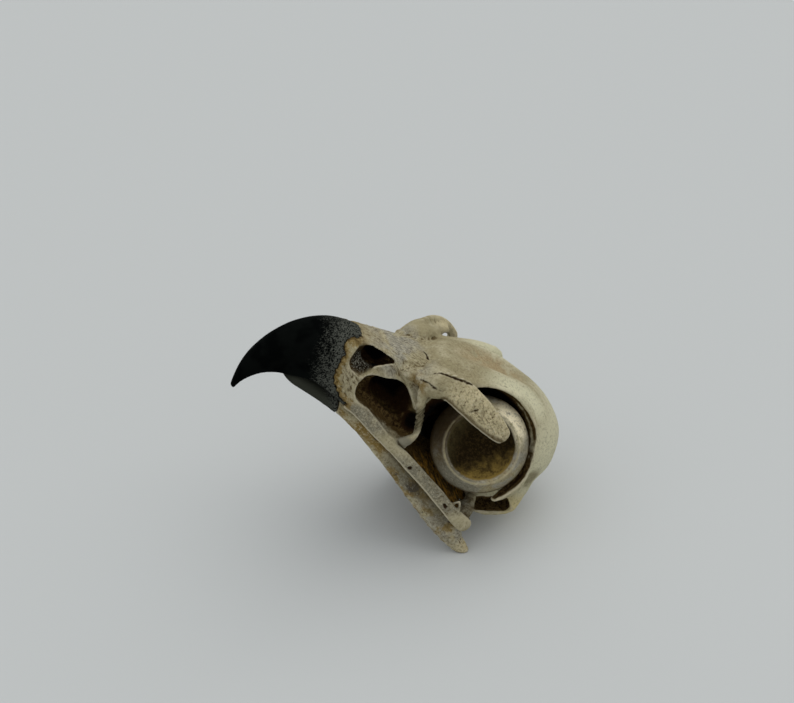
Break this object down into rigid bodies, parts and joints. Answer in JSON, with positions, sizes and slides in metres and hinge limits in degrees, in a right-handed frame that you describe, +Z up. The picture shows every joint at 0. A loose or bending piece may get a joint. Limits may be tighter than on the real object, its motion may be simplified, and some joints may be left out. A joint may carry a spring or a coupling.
{
  "type": "hawk skull",
  "caption": "Life-size skull of a large hawk with black hooked bill sheaths, eye rings and closed lower jaw, lying tilted back on its jaw ends and braincase.",
  "frame": {"origin": "on the surface the skull lies on, below the middle of the box round it", "axes": "+Z up, the bill points to -X and slopes up, the bird's left side faces -Y"},
  "size_m": [0.0773, 0.0431, 0.0583],
  "materials": {
    "skull_bone": "dry matte bone, cream to khaki with brown staining in the recesses",
    "jaw_bone": "dry matte bone, yellower, with ochre stains and grey mottling",
    "ring_bone": "thin grey-beige bone, brown in the dish",
    "bill_horn": "near-black horn, semi-gloss at the tip and stippled dark grey towards its edge"
  },
  "bodies": {
    "root": {"braincase": "skull_bone", "upper_jaw": "skull_bone", "bill_upper": "bill_horn", "bill_lower": "bill_horn", "mandible": "jaw_bone", "lacrimal_left": "skull_bone", "lacrimal_right": "skull_bone", "jugal_left": "skull_bone", "jugal_right": "skull_bone", "quadrate_left": "skull_bone", "quadrate_right": "skull_bone", "pterygoid_left": "skull_bone", "pterygoid_right": "skull_bone", "palatine_left": "skull_bone", "palatine_right": "skull_bone", "sclerotic_ring_left": "ring_bone", "sclerotic_ring_right": "ring_bone"}
  },
  "joints": []
}
